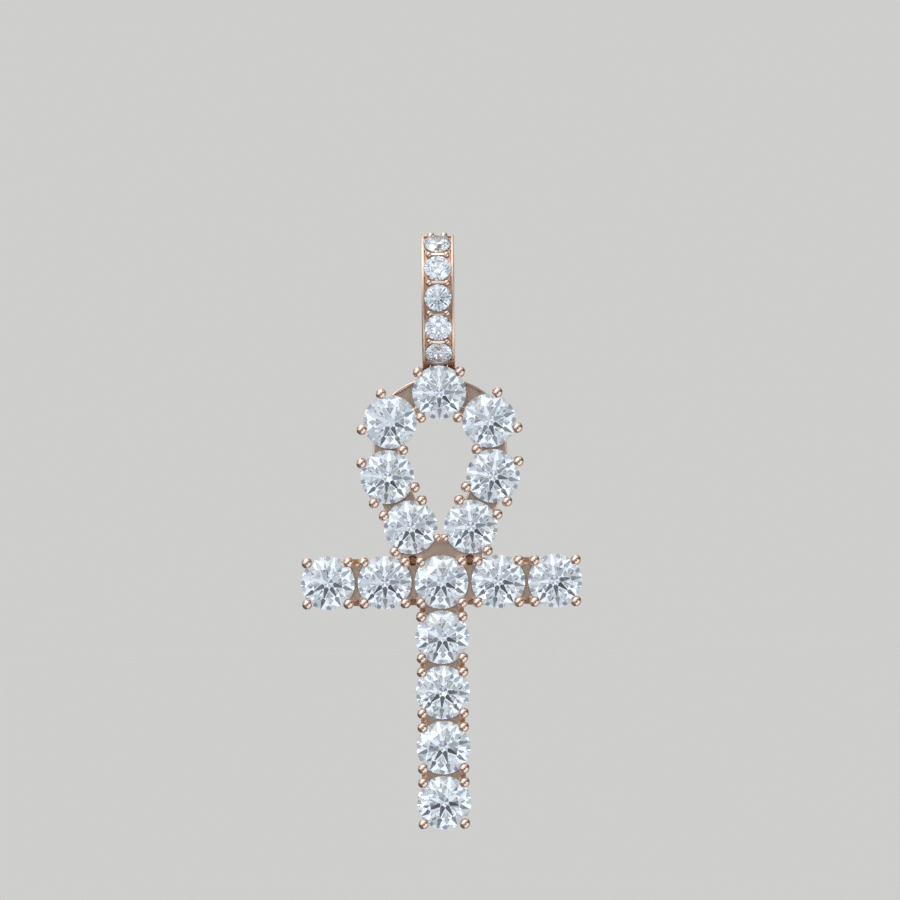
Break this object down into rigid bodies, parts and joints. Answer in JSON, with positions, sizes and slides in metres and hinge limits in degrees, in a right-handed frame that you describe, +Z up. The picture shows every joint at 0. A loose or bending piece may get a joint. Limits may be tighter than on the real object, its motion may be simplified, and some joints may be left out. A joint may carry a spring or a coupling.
{
  "type": "ankh pendant",
  "caption": "Prong-set ankh of round clear stones that hangs on a hinge pin from a stone-set bail, for a chain.",
  "frame": {"origin": "the inside of the bail's crest, in the middle of its width, where a chain bears", "axes": "+X to the right, +Z up, and the stones face -Y"},
  "size_m": [0.021, 0.0075, 0.0445],
  "materials": {
    "rose_gold": "rose-gold plated brass, cast and polished",
    "clear_stone": "clear round brilliant-cut cubic zirconia, polished"
  },
  "bodies": {
    "bail": {"bail": "rose_gold", "hinge_pin": "rose_gold", "bail_stone_1": "clear_stone", "bail_stone_2": "clear_stone", "bail_stone_3": "clear_stone", "bail_stone_4": "clear_stone", "bail_stone_5": "clear_stone"},
    "ankh": {"ankh_frame": "rose_gold", "loop_stone_top": "clear_stone", "loop_stone_shoulder_right": "clear_stone", "loop_stone_middle_right": "clear_stone", "loop_stone_foot_right": "clear_stone", "loop_stone_shoulder_left": "clear_stone", "loop_stone_middle_left": "clear_stone", "loop_stone_foot_left": "clear_stone", "bar_stone_1": "clear_stone", "bar_stone_2": "clear_stone", "bar_stone_3": "clear_stone", "bar_stone_4": "clear_stone", "bar_stone_5": "clear_stone", "stem_stone_1": "clear_stone", "stem_stone_2": "clear_stone", "stem_stone_3": "clear_stone", "stem_stone_4": "clear_stone"}
  },
  "joints": [
    {"name": "ankh_swing", "type": "hinge", "parent": "bail", "child": "ankh", "pos_m": [0, 0, -0.00819], "axis": [1, 0, 0], "range_deg": [-6, 16]}
  ]
}
